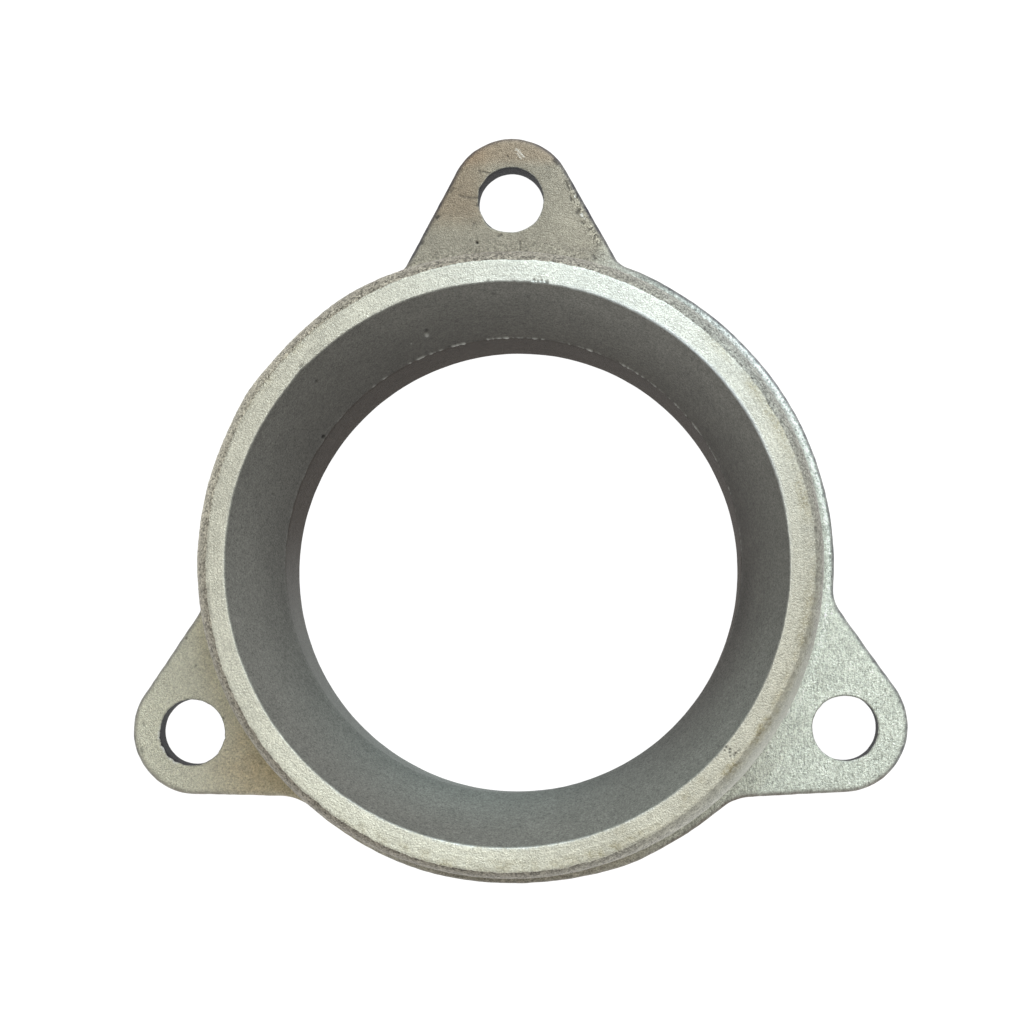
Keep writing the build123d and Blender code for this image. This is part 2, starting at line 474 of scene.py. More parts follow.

# ---------------------------------------------------------------- small marks
# Each mark runs from one place to another in plan: (x0, y0, x1, y1), height,
# half width in mm, depth (into the casting, minus for a bump), darkness, which is
# painted shade inside pits, cracks and pores, and shine, a painted highlight.
MARKS = [
    # inlet cone: sand pit at the throat, pinholes, two pimples
    ((-25.10, 17.12, -25.10, 17.12), 12.0, 0.27, 0.30, 1.1, 0.0),
    ((-31.35, 9.28, -31.35, 9.28), 16.7, 0.20, 0.12, 0.9, 0.0),
    ((-28.01, 13.84, -28.01, 13.84), 13.3, 0.16, 0.06, 0.4, 0.0),
    ((-24.80, 23.70, -24.80, 23.70), 21.0, 0.21, 0.12, 0.8, 0.0),
    ((-17.60, 29.85, -17.60, 29.85), 21.9, 0.17, 0.12, 0.7, 0.0),
    ((-10.76, 30.72, -10.70, 30.74), 16.9, 0.26, 0.12, 0.9, 0.0),
    ((-10.84, 30.26, -10.80, 30.20), 16.0, 0.28, -0.30, 0.0, 0.45),
    ((-12.90, 29.45, -12.88, 29.45), 15.9, 0.13, 0.05, 0.5, 0.0),
    ((-12.95, 29.20, -12.93, 29.20), 15.4, 0.15, -0.18, 0.0, 0.5),
    ((31.2, 7.0, 31.2, 7.0), 12.6, 0.25, 0.05, 0.35, 0.0),
    ((-1.7, 34.6, -1.3, 34.5), 22.2, 0.22, 0.04, 0.35, 0.0),
    ((2.9, 34.2, 3.1, 34.2), 21.6, 0.20, 0.04, 0.35, 0.0),
    ((9.6, 32.2, 9.8, 32.1), 20.4, 0.18, 0.04, 0.30, 0.0),
    # mouth face: porous patch at the lower right
    ((27.44, -23.80, 27.44, -23.80), 25.0, 0.13, 0.10, 0.8, 0.0),
    ((27.23, -24.20, 27.23, -24.20), 25.0, 0.12, 0.10, 0.7, 0.0),
    ((27.90, -24.08, 27.90, -24.08), 25.0, 0.14, 0.12, 0.85, 0.0),
    ((27.89, -24.42, 27.87, -24.52), 25.0, 0.12, 0.10, 0.8, 0.0),
    ((28.63, -24.54, 28.60, -24.62), 25.0, 0.13, 0.12, 0.85, 0.0),
    ((28.43, -24.81, 28.43, -24.81), 25.0, 0.13, 0.10, 0.8, 0.0),
    ((27.96, -24.94, 27.96, -24.94), 25.0, 0.12, 0.10, 0.7, 0.0),
    ((28.95, -24.30, 28.95, -24.30), 25.0, 0.12, 0.06, 0.5, 0.0),
    ((32.22, -12.91, 32.22, -12.91), 25.0, 0.12, 0.05, 0.45, 0.0),
    # ragged mouth edge at the top
    ((3.86, 35.80, 3.86, 35.72), 25.0, 0.13, 0.12, 0.5, 0.0),
    ((4.37, 35.62, 4.37, 35.56), 25.0, 0.13, 0.14, 0.6, 0.0),
    ((4.78, 35.72, 4.78, 35.66), 25.0, 0.14, 0.14, 0.6, 0.0),
    ((5.46, 35.52, 5.50, 35.36), 25.0, 0.18, 0.16, 0.65, 0.0),
    ((-2.02, 35.80, -2.02, 35.76), 25.0, 0.13, 0.10, 0.45, 0.0),
    ((-26.3, 25.05, -26.0, 25.3), 25.0, 0.16, 0.10, 0.4, 0.0),
    # top lug
    ((-4.71, 44.30, -4.71, 44.30), 5.0, 0.21, 0.26, 1.1, 0.0),
    ((-0.38, 56.24, -0.38, 56.24), 5.0, 0.13, 0.12, 0.8, 0.0),
    ((-5.69, 44.70, -5.69, 44.70), 5.0, 0.15, 0.04, 0.35, 0.0),
    ((-5.2, 46.9, -5.0, 47.0), 5.0, 0.24, 0.04, 0.35, 0.0),
    ((-1.75, 45.15, -1.35, 45.30), 5.0, 0.20, 0.06, 0.6, 0.0),
    ((1.19, 44.27, 1.18, 43.20), 5.0, 0.13, 0.06, 0.45, 0.0),
    ((-4.43, 54.34, -3.55, 54.08), 5.0, 0.075, 0.05, 0.75, 0.0),
    ((-3.55, 54.08, -2.84, 53.94), 5.0, 0.075, 0.05, 0.75, 0.0),
    ((-7.17, 50.86, -5.90, 50.62), 5.0, 0.16, 0.04, 0.38, 0.0),
    ((-5.90, 50.62, -4.67, 50.50), 5.0, 0.20, 0.04, 0.42, 0.0),
    ((-4.65, 49.6, -4.62, 49.4), 5.0, 0.18, 0.05, 0.55, 0.0),
    ((0.84, 57.20, 1.79, 56.13), 5.0, 0.12, -0.02, 0.0, 0.55),
    ((0.95, 56.55, 1.45, 55.85), 5.0, 0.10, -0.02, 0.0, 0.45),
    ((-10.25, 47.85, -10.05, 48.05), 4.95, 0.28, 0.08, 0.9, 0.0),
    ((6.05, 55.46, 6.45, 55.02), 4.95, 0.26, 0.06, 0.75, 0.0),
    ((5.17, 54.75, 5.35, 54.55), 5.0, 0.16, 0.04, 0.35, 0.0),
    ((7.60, 52.6, 7.95, 51.6), 5.0, 0.12, 0.08, 0.6, 0.0),
    ((8.25, 50.4, 8.30, 49.9), 5.0, 0.15, 0.10, 0.7, 0.0),
    ((9.30, 48.5, 9.10, 48.1), 5.0, 0.20, 0.08, 0.65, 0.0),
    ((9.65, 46.9, 9.95, 46.6), 5.0, 0.13, 0.08, 0.6, 0.0),
    ((8.80, 50.5, 8.85, 50.3), 5.0, 0.10, -0.06, 0.0, 0.85),
    ((9.62, 47.9, 9.85, 47.6), 5.0, 0.13, -0.06, 0.0, 0.85),
    ((10.15, 47.3, 10.15, 47.3), 5.0, 0.10, -0.05, 0.0, 0.7),
    ((11.35, 42.2, 11.5, 41.8), 5.0, 0.22, 0.05, 0.5, 0.0),
    ((-8.3, 51.4, -8.0, 51.9), 4.95, 0.20, 0.05, 0.5, 0.0),
    ((-12.4, 44.3, -12.2, 44.6), 4.95, 0.20, 0.05, 0.5, 0.0),
    # left lug
    ((-45.33, -9.76, -45.30, -9.80), 5.0, 0.16, 0.06, 0.75, 0.0),
    ((-44.00, -13.50, -43.98, -13.52), 5.0, 0.16, 0.05, 0.55, 0.0),
    ((-46.6, -12.3, -46.6, -12.3), 5.0, 0.13, 0.04, 0.4, 0.0),
    ((-40.20, -20.80, -40.25, -20.70), 5.0, 0.15, 0.10, 0.6, 0.0),
    ((-51.3, -21.3, -51.2, -21.6), 5.0, 0.16, 0.05, 0.45, 0.0),
    ((-51.6, -24.9, -51.5, -25.3), 4.95, 0.18, 0.05, 0.55, 0.0),
    ((-35.1, -26.9, -35.0, -26.7), 5.0, 0.18, 0.04, 0.4, 0.0),
    ((-35.2, -28.2, -35.1, -28.0), 5.0, 0.16, 0.04, 0.4, 0.0),
    # right lug: a cast nib by the collar, a nick by the hole
    ((36.6, -21.0, 37.0, -20.4), 5.0, 0.16, -0.12, 0.0, 0.8),
    ((48.4, -27.0, 48.6, -26.9), 5.0, 0.14, 0.05, 0.4, 0.0),
    ((52.45, -19.9, 52.4, -20.2), 4.9, 0.16, 0.05, 0.6, 0.0),
    ((40.6, -27.6, 40.9, -27.3), 5.0, 0.10, -0.03, 0.0, 0.35),
]


def mark_distance(xyz, mark):
    """Distance to a mark over its half width; heights count a little less than plan."""
    (x0, y0, x1, y1), z0, r = mark[0], mark[1], mark[2]
    p = xyz[:, :2] - np.array([x0, y0])
    d = np.array([x1 - x0, y1 - y0])
    t = np.clip((p @ d) / max(d @ d, 1e-12), 0, 1)
    dist = np.hypot(np.hypot(*(p - t[:, None] * d).T), (xyz[:, 2] - z0) * 0.45)
    return np.where(np.abs(xyz[:, 2] - z0) < 1.6, dist, 9.0) / r


def vertex_array():
    b = np.zeros(len(mesh.vertices) * 3, np.float32)
    mesh.vertices.foreach_get("co", b)
    return b.reshape(-1, 3).astype(float)


co = vertex_array()
wanted = np.zeros(len(co), bool)
for m in MARKS:
    wanted |= mark_distance(co, m) * m[2] < m[2] * 1.7 + 0.22
bm = bmesh.new()
bm.from_mesh(mesh)
bm.verts.ensure_lookup_table()
es = [e for e in bm.edges if wanted[e.verts[0].index] and wanted[e.verts[1].index]]
bmesh.ops.subdivide_edges(bm, edges=es, cuts=3, use_grid_fill=True)
bmesh.ops.triangulate(bm, faces=[f for f in bm.faces if len(f.verts) > 4])
bm.normal_update()
bm.to_mesh(mesh)
bm.free()
mesh.update()

# ---------------------------------------------------------------- surface relief
co = vertex_array()
n = len(co)
nr = np.zeros(n * 3, np.float32)
mesh.vertex_normals.foreach_get("vector", nr)
nr = nr.reshape(-1, 3).astype(float)
at = {}
for k in NAMES:
    b = np.zeros(n, np.float32)
    mesh.attributes[k].data.foreach_get("value", b)
    at[k] = b.astype(float)

img = (-np.degrees(np.arctan2(co[:, 1], co[:, 0]))) % 360.0
g0 = n1(co, 0.45, 75.0)
g1 = n1(co, 1.1, 71.0)
g2 = n1(co, 4.0, 72.0)
g3 = n1(co, 14.0, 73.0)
g4 = n1(co, 0.62, 74.0)
coarse = 0.55 + 0.45 * np.clip(bell(img, 235, 70) + bell(img, 320, 40), 0, 1)
disp = at["shoulder"] * at["rough"] * coarse * (0.035 * g1 + 0.045 * g4 + 0.045 * g0 + 0.03 * g2)
disp += at["wall"] * (0.035 * g1 + 0.05 * g2 + 0.06 * g3)
disp += at["plate"] * (0.016 * g1 + 0.02 * g4 + 0.02 * g2 + 0.03 * g3)
disp += at["side"] * (0.04 * g1 + 0.03 * g2 - 0.02)
disp += at["cone"] * (0.010 * g1 + 0.012 * g2 + 0.03 * g3)
disp += at["throat"] * (0.015 * g1 + 0.03 * g2)
disp += at["hole"] * (0.03 * g1)
disp += at["face"] * (0.004 * g4 + 0.003 * g0)

# painted shade inside the marks' pits, painted highlights from the glints and the marks' shine
pit = np.zeros(n)
shine = at["flash"].copy()
for m in MARKS:
    d = mark_distance(co, m)
    w = np.exp(-(d**3))
    disp -= m[3] * np.exp(-(d**2))
    pit = np.maximum(pit, m[4] * w)
    shine = np.maximum(shine, m[5] * w)

co2 = co + nr * disp[:, None]
co2 = np.clip(co2, np.array(cad_lo) * 1000, np.array(cad_hi) * 1000)
flat = at["back"] > 0.9
co2[flat, 2] = co[flat, 2]
mesh.vertices.foreach_set("co", (co2 * 0.001).astype(np.float32).ravel())
mesh.update()
mesh.shade_smooth()
mesh.set_sharp_from_angle(angle=math.radians(50))

# ---------------------------------------------------------------- tone by place
# Broad differences of tone: plain bells round the ring and soft discs. Much of it is painted light and shade; the rest
# is the cast skin's own colour.
x, y, z = co2[:, 0], co2[:, 1], co2[:, 2]
rad = np.hypot(x, y)


def mark_layer(name, values):
    mesh.attributes.new(name, "FLOAT", "POINT").data.foreach_set("value", np.asarray(values).astype(np.float32))


def disc(px, py, r_, soft):
    return 1.0 / (1.0 + np.exp((np.hypot(x - px, y - py) - r_) / soft))


on_plate = np.clip(at["plate"] + at["side"], 0, 1)
# the top lug's skin ends where its right side runs into the disc
top = on_plate * smooth(y, 30, 34) * smooth(-(x - 0.52 * y), 5.5, 12.0)
left = on_plate * smooth(-x, 18, 24) * (y < 22) * smooth(rad, 39.6, 40.6)
right = on_plate * smooth(x, 14, 22) * (y < 40) * smooth(rad, 39.6, 40.6)
wall_up = smooth(z, 9, 19)
# painted shadow of the collar over the bottom of the plate and the wall's foot
low = np.clip(on_plate + at["wall"] * (1 - wall_up), 0, 1) * bell(img, 92, 36) * (rad < 45)

gain = np.ones(n)
warm = np.zeros(n)
cool_light = np.zeros(n)


def hues(level, *bells):
    """A level and a few broad soft patches round the ring, each (where, width, colour)."""
    v = np.tile(np.array(level, float), (n, 1))
    for where_, width, amount in bells:
        v += bell(img, where_, width)[:, None] * np.array(amount)
    return v


fc = at["face"]
sh = np.clip(at["shoulder"] + at["wall"] * wall_up, 0, 1)
# painted shade: the throat's upper side is painted dark brown; its lower side has the skin of the cone
brown = 1 - smooth(np.abs(wrap(img - 285)), 90, 126)
throat_shade = at["throat"] * brown
cn = np.clip(at["cone"] + at["throat"] - throat_shade, 0, 1)
tone = np.ones((n, 3))
# painted light: the face is paler and cooler at the upper right, a little paler at the bottom
face_tone = hues((0.96, 0.97, 0.96), (115, 46, (0.32, 0.36, 0.38)), (295, 42, (0.28, 0.38, 0.52)))
# painted shade makes the shoulder brown and darker along the bottom; painted light makes it pale at the lower right
# and left
shoulder_tone = hues((0.84, 0.80, 0.74), (33, 36, (0.55, 0.65, 0.70)), (203, 36, (0.54, 0.55, 0.50)), (318, 26, (0.20, 0.30, 0.38)))
# painted light and shade: the cone is paler at the bottom, where the light reaches it, and darker towards the throat
cone_high = hues((0.93, 0.94, 0.92), (308, 38, (0.25, 0.25, 0.26)), (50, 52, (0.12, 0.18, 0.17)), (218, 32, (-0.15, -0.16, -0.16)))
cone_low = hues((0.64, 0.63, 0.61), (100, 52, (0.27, 0.38, 0.39)), (295, 34, (0.15, 0.15, 0.14)))
t_up = np.clip((z - 15.0) / 6.25, -0.45, 1.15)[:, None]
tone += fc[:, None] * (face_tone - 1) + sh[:, None] * (shoulder_tone - 1)
tone += cn[:, None] * (cone_low + (cone_high - cone_low) * t_up - 1)
# the lug skins: browner beside and above the top hole; at the left lug's foot, a darker and browner painted shadow of
# the collar
by_hole = top * smooth(-x, 1.5, 6) * smooth(y, 45.5, 49)
tip = top * smooth(y, 54.3, 56.3)
collar_shadow_left = left * disc(-36.0, -27.5, 4.2, 1.2)
for ch, (c_hole, c_tip, c_collar_shadow) in enumerate(((-0.08, 0.12, -0.07), (-0.15, 0.04, -0.15), (-0.18, 0.03, -0.23))):
    tone[:, ch] *= 1 + c_hole * by_hole + c_tip * tip + c_collar_shadow * collar_shadow_left * (1 + 0.9 * g2 + 0.3 * g1)
gain += fc * (0.04 * g2 + 0.04 * g3 + 0.03 * g1) + cn * (0.06 * g2 + 0.05 * g3)
# painted shade: the shoulder darker at the right and along the bottom
gain -= sh * (0.22 * bell(img, 8, 22) + 0.10 * bell(img, 92, 34))
# painted shade: the foot of the shoulder, darker along the bottom
gain -= at["shoulder"] * (
    0.14 * smooth(-z, -23.7, -22.6) * bell(img, 100, 48) + 0.15 * smooth(-z, -23.9, -23.0) * bell(img, 150, 22)
)
# painted light: the wall's foot and the right lug's root paler at the lower right
gain += at["wall"] * (1 - wall_up) * 0.20 * bell(img, 32, 18) + right * 0.10 * smooth(-rad, -44, -41.5) * bell(img, 32, 20)
# painted shade on the wall at the lower left, where it meets the lug
gain -= at["wall"] * 0.45 * bell(img, 150, 26)
# faint step of tone round the lower left of the cone, a painted shadow edge of the mouth's rim, and paler and darker
# bands above it, painted light and shade
step = 13.2 + 3.4 * smooth(img, 115, 165)
gain -= at["cone"] * 0.09 * (1 - smooth(z - step, -0.6, 0.6)) * bell(img, 140, 50)
gain += at["cone"] * (
    0.06 * np.exp(-(((z - 16.0) / 2.6) ** 2)) * bell(img, 95, 55)
    - 0.06 * smooth(z, 20, 24) * bell(img, 115, 45)
    - 0.05 * bell(img, 212, 30)
    + 0.11 * smooth(z, 19, 24.5) * bell(img, 270, 38)
    - 0.17 * smooth(-z, -17.5, -13) * bell(img, 13, 15)
)
# painted light and shade on the face: paler at the lower left, darker at the right near its outer edge
gain += fc * (0.04 * bell(img, 118, 22) - 0.07 * smooth(rad, 36.6, 37.6) * bell(img, 358, 12) - 0.05 * bell(img, 356, 10))
# painted shade: the throat's lower side a little darker
gain += throat_shade * 0.10 * g1 - (at["throat"] - throat_shade) * 0.05
gain += top * (0.07 + 0.11 * smooth(x, 2, 8) - 0.14 * tip + 0.06 * g2 + 0.03 * g1)
warm += top * (0.35 * smooth(-x, -1, 8) * smooth(y, 44, 50) + 0.35 * tip + 0.06)
# painted shadow of the collar: the left lug darker and warmer near the collar, paler towards its end
gain += left * (
    0.06 * disc(-50.5, -22, 4.5, 1.2) + 0.08 + 0.08 * disc(-44.0, -30, 4.0, 1.2)
    - 0.04 * smooth(-rad, -45.5, -43) + 0.05 * g2
)
warm += left * (0.5 * disc(-34.0, -28.0, 5.0, 1.6) + 0.45 * smooth(-rad, -47, -43))
# painted light: the right lug bluish and a little brighter
cool_light += right * 0.45
gain += right * (0.05 * bell(img, 335, 26) + 0.04 * bell(img, 20, 12) + 0.03 * g2)
# the narrow strip of plate right of the collar, and its root: painted shade at the root, a painted highlight along the
# rounded edge and painted bluish light
strip_r = np.clip(on_plate + at["wall"] * (z < 12), 0, 1) * (rad < 44.5)
gain -= strip_r * (0.42 * bell(img, 298, 14) + 0.34 * smooth(-rad, -42.65, -42.25) * bell(img, 322, 42))
bright = strip_r * np.exp(-(((rad - 42.85) / 0.26) ** 2)) * np.clip(1.2 * bell(img, 332, 34), 0, 1)
gain += 0.55 * bright * (1 + 1.2 * g1)
tone *= 1 + (strip_r * bell(img, 318, 24))[:, None] * np.array([0.03, 0.02, 0.10])
cool_light += 0.6 * bright
# painted shadow of the collar along the bottom: darker and warmer
gain -= low * 0.52
warm += low * 0.45
tone *= 1 + low[:, None] * np.array([0.02, -0.035, -0.05])
gain = np.clip(gain, 0.2, 1.8)

# painted shade: dark line along the rounded outer edge of the plate, bluish above, brown below
in_top = smooth(y, 40, 43)
rim_shade = at["rim"] * np.clip(
    1.0 * in_top * (1 - 0.55 * bell(img, 270, 5)) + 0.55 * smooth(-x, 38, 42) + 0.75 * smooth(x, 14, 24), 0, 1
) * (0.75 + 0.5 * np.clip(g1, -0.5, 0.5))
rim_brown = smooth(-y, 27, 30)
# sparkling band of the top lug's right edge
a_, b_ = np.array([7.4, 53.6]), np.array([12.0, 43.8])
ab = b_ - a_
tt = np.clip(((x - a_[0]) * ab[0] + (y - a_[1]) * ab[1]) / (ab @ ab), 0, 1)
dist = np.hypot(x - a_[0] - tt * ab[0], y - a_[1] - tt * ab[1])
spark = 0.8 * on_plate * np.exp(-((dist / 0.55) ** 2)) * (0.8 + 1.2 * g2)
spark = np.maximum(spark, 0.35 * top * smooth(-rad, -45.2, -43.2))
spark = np.maximum(spark, 0.10 * collar_shadow_left)
spark = np.maximum(spark, 0.30 * low)
spark = np.maximum(spark, 0.40 * sh * bell(img, 256, 30))
spark = np.maximum(spark, 0.45 * bright)

# olive staining where the cut runs out, and where the shoulder meets the plate
t_out = smooth(rad, 37.6, 38.3) * fc + sh * smooth(-rad, -39.0, -38.6)
t_wide = smooth(rad, 36.9, 38.3) * fc * np.clip(0.35 + 1.6 * g2 + 0.6 * g1, 0, 1)
stain = t_out * (
    0.9 * bell(img, 33, 5) + 0.9 * bell(img, 43.5, 2.4) + 0.40 * bell(img, 12, 13) + 0.35 * bell(img, 68, 14)
    + 0.30 * bell(img, 225, 14) + 0.50 * bell(img, 100, 26) + 0.4 * bell(img, 345, 8)
) * (0.55 + 1.2 * np.clip(g1, -0.4, 1))
stain += t_wide * (0.55 * bell(img, 325, 17) + 0.28 * bell(img, 352, 16) + 0.20 * bell(img, 25, 20))
stain += fc * (0.5 * disc(22.3, -30.0, 0.5, 0.25) + 0.35 * disc(24.2, -28.0, 0.45, 0.25) + 0.3 * disc(14.0, -34.0, 0.7, 0.3))
# painted shade along the shoulder's foot, where it stands against the plate and lugs beyond
crease_shade = at["shoulder"] * smooth(-z, -23.2, -22.5) * (bell(img, 157, 12) + 0.35 * bell(img, 65, 12))
quiet = sh * np.clip(1.1 * bell(img, 31, 26), 0, 1)
mesh.attributes.new("tone", "FLOAT_VECTOR", "POINT").data.foreach_set("vector", tone.astype(np.float32).ravel())
mark_layer("bore", np.clip(at["cone"] + at["throat"], 0, 1))
mark_layer("ringed", np.clip(at["face"] + at["shoulder"], 0, 1))
mark_layer("throat_painted_shade", throat_shade)
mark_layer("rim_shade", np.clip(rim_shade, 0, 1))
mark_layer("rim_brown", rim_brown)
mark_layer("spark", np.clip(spark, 0, 1))
mark_layer("quiet", quiet)

for name, val in (
    ("gain", gain), ("warm", np.clip(warm, 0, 1)), ("cool_light", np.clip(cool_light, 0, 1)), ("stain", np.clip(stain, 0, 1)),
    ("crease_shade", np.clip(crease_shade, 0, 1)), ("pit", np.clip(pit, 0, 1)), ("shine", np.clip(shine, 0, 1)),
    ("skin_top", np.clip(top, 0, 1)), ("skin_left", np.clip(left, 0, 1)), ("skin_right", np.clip(right, 0, 1)),
):
    mark_layer(name, val)
# painted highlight: bluish-white line along the mouth's inner edge
lip_highlight = at["lip"] * np.clip(bell(img, 315, 30) + 0.45 * bell(img, 95, 34) * (0.5 + 1.5 * g0) + 0.08, 0, 1)
mark_layer("lip_highlight", lip_highlight)

# ---------------------------------------------------------------- the piece
piece = bpy.data.objects.new("inlet_flange_cast", mesh)
bpy.context.scene.collection.objects.link(piece)
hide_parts("inlet_flange")
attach(piece, "root")
mesh.calc_loop_triangles()
print("triangles", len(mesh.loop_triangles), "points", n)

# ---------------------------------------------------------------- material
mat = bpy.data.materials.new("cast_alloy_surface")
mat.use_nodes = True
nt = mat.node_tree
nt.nodes.clear()
out = nt.nodes.new("ShaderNodeOutputMaterial")
bsdf = nt.nodes.new("ShaderNodeBsdfPrincipled")
nt.links.new(bsdf.outputs[0], out.inputs[0])


def attr(name):
    a = nt.nodes.new("ShaderNodeAttribute")
    a.attribute_name = name
    return a.outputs["Fac"]


def math_(op, a, b=None, clamp=False):
    m = nt.nodes.new("ShaderNodeMath")
    m.operation = op
    m.use_clamp = clamp
    for i, v in enumerate((a, b)):
        if v is None:
            continue
        if isinstance(v, (int, float)):
            m.inputs[i].default_value = v
        else:
            nt.links.new(v, m.inputs[i])
    return m.outputs[0]


def vmath(op, a, b=None):
    m = nt.nodes.new("ShaderNodeVectorMath")
    m.operation = op
    for i, v in enumerate((a, b)):
        if v is None:
            continue
        if isinstance(v, tuple):
            m.inputs[i].default_value = v
        else:
            nt.links.new(v, m.inputs[i])
    return m.outputs["Value"] if op in ("LENGTH", "DISTANCE") else m.outputs[0]


def mixc(fac, a, b, mode="MIX"):
    m = nt.nodes.new("ShaderNodeMix")
    m.data_type = "RGBA"
    m.blend_type = mode
    m.clamp_factor = True
    for sock, v in ((m.inputs[0], fac), (m.inputs[6], a), (m.inputs[7], b)):
        if isinstance(v, (int, float)):
            sock.default_value = v
        elif isinstance(v, tuple):
            sock.default_value = (*v, 1.0)
        else:
            nt.links.new(v, sock)
    return m.outputs[2]


def mixf(fac, a, b):
    m = nt.nodes.new("ShaderNodeMix")
    m.data_type = "FLOAT"
    m.clamp_factor = True
    for sock, v in ((m.inputs[0], fac), (m.inputs[2], a), (m.inputs[3], b)):
        if isinstance(v, (int, float)):
            sock.default_value = v
        else:
            nt.links.new(v, sock)
    return m.outputs[0]


coord = nt.nodes.new("ShaderNodeTexCoord")
scale_mm = nt.nodes.new("ShaderNodeVectorMath")
scale_mm.operation = "SCALE"
scale_mm.inputs["Scale"].default_value = 1000.0
nt.links.new(coord.outputs["Object"], scale_mm.inputs[0])
P = scale_mm.outputs[0]


def tex_noise(scale, detail=2.0, rough=0.5, vec=None, warp=0.0):
    t = nt.nodes.new("ShaderNodeTexNoise")
    t.inputs["Scale"].default_value = scale
    t.inputs["Detail"].default_value = detail
    t.inputs["Roughness"].default_value = rough
    t.inputs["Distortion"].default_value = warp
    nt.links.new(vec or P, t.inputs["Vector"])
    return t.outputs["Fac"]


def remap(fac, a, b, c, d):
    r_ = nt.nodes.new("ShaderNodeMapRange")
    for k_, v in zip(("From Min", "From Max", "To Min", "To Max"), (a, b, c, d)):
        r_.inputs[k_].default_value = v
    r_.clamp = True
    nt.links.new(fac, r_.inputs["Value"])
    return r_.outputs["Result"]


def lin(r_, g_, b_):
    """Linear colour from 0..255 display values."""

    def f(c):
        c /= 255.0
        return c / 12.92 if c <= 0.04045 else ((c + 0.055) / 1.055) ** 2.4

    return (f(r_), f(g_), f(b_))


LAYERS = NAMES + (
    "gain", "warm", "cool_light", "stain", "crease_shade", "pit", "shine", "skin_top", "skin_left", "skin_right", "lip_highlight",
    "rim_shade", "rim_brown", "spark", "quiet", "bore", "ringed", "throat_painted_shade",
)
A = {k: attr(k) for k in LAYERS}
tone_node = nt.nodes.new("ShaderNodeAttribute")
tone_node.attribute_name = "tone"

# base colour by surface
col = mixc(A["skin_top"], lin(223, 226, 213), lin(153, 150, 138))
# painted shade of the collar: the left lug's base is darker and warmer
col = mixc(A["skin_left"], col, lin(202, 202, 185))
col = mixc(A["back"], col, lin(188, 186, 178))
col = mixc(A["side"], col, lin(142, 140, 134))
col = mixc(A["wall"], col, lin(160, 156, 150))
col = mixc(A["ringed"], col, lin(166, 164, 156))
col = mixc(A["face"], col, lin(193, 191, 178))
# the bore is darker than the face: partly its smoother cast skin, partly painted shade
col = mixc(A["bore"], col, lin(116, 115, 110))
# painted shade: dark brown on the throat's upper side, dark grey on the bolt hole walls
col = mixc(A["throat_painted_shade"], col, lin(67, 60, 53))
col = mixc(A["hole"], col, lin(60, 60, 62))
col = mixc(1.0, col, tone_node.outputs["Vector"], "MULTIPLY")
col = mixc(A["warm"], col, mixc(1.0, col, (1.02, 0.94, 0.78), "MULTIPLY"))
# painted light: bluish tint on the right lug and the plate's rounded edge
col = mixc(A["cool_light"], col, mixc(1.0, col, (0.93, 1.01, 1.05), "MULTIPLY"))
col = mixc(math_("MULTIPLY", A["stain"], remap(tex_noise(2.2, 3.0, 0.6), 0.35, 0.6, 0.2, 1.0)), col, lin(132, 122, 84))

# speckle of the blasted skin: bright and dark grains of about 0.3 to 0.5 mm
grain = tex_noise(4.2, 3.0, 0.6)
grain_fine = tex_noise(8.5, 2.0, 0.5)
cells = nt.nodes.new("ShaderNodeTexVoronoi")
cells.feature = "SMOOTH_F1"
cells.inputs["Scale"].default_value = 3.8
cells.inputs["Smoothness"].default_value = 0.35
nt.links.new(P, cells.inputs["Vector"])
cell_v = nt.nodes.new("ShaderNodeSeparateColor")
nt.links.new(cells.outputs["Color"], cell_v.inputs[0])
sparkle = remap(cell_v.outputs[0], 0.15, 0.95, -1.0, 1.0)
# strokes left by the blasting, all one way
slant = nt.nodes.new("ShaderNodeMapping")
slant.inputs["Rotation"].default_value = (0, 0, math.radians(-48))
slant.inputs["Scale"].default_value = (2.6, 1.0, 1.0)
nt.links.new(P, slant.inputs["Vector"])
strokes = tex_noise(1.35, 2.0, 0.55, slant.outputs[0], 0.6)
# turning marks: fine rings about the mouth axis, broken along their length
rel = vmath("SUBTRACT", P, (-0.15, -0.32, 0.0))
flat_v = vmath("MULTIPLY", rel, (1.0, 1.0, 0.0))
r_len = vmath("LENGTH", flat_v)
unit = vmath("NORMALIZE", flat_v)
sp = nt.nodes.new("ShaderNodeSeparateXYZ")
nt.links.new(unit, sp.inputs[0])
cb = nt.nodes.new("ShaderNodeCombineXYZ")
nt.links.new(math_("MULTIPLY", r_len, 2.6), cb.inputs[0])
nt.links.new(math_("MULTIPLY", sp.outputs[0], 5.0), cb.inputs[1])
nt.links.new(math_("MULTIPLY", sp.outputs[1], 5.0), cb.inputs[2])
turned = tex_noise(1.0, 2.0, 0.5, cb.outputs[0])

slow = remap(tex_noise(0.22, 3.0, 0.55), 0.3, 0.7, 0.95, 1.05)
mid = remap(tex_noise(0.7, 2.0, 0.5), 0.3, 0.7, 0.96, 1.04)
smoothness = math_("ADD", A["cone"], math_("ADD", A["throat"], A["hole"]), True)

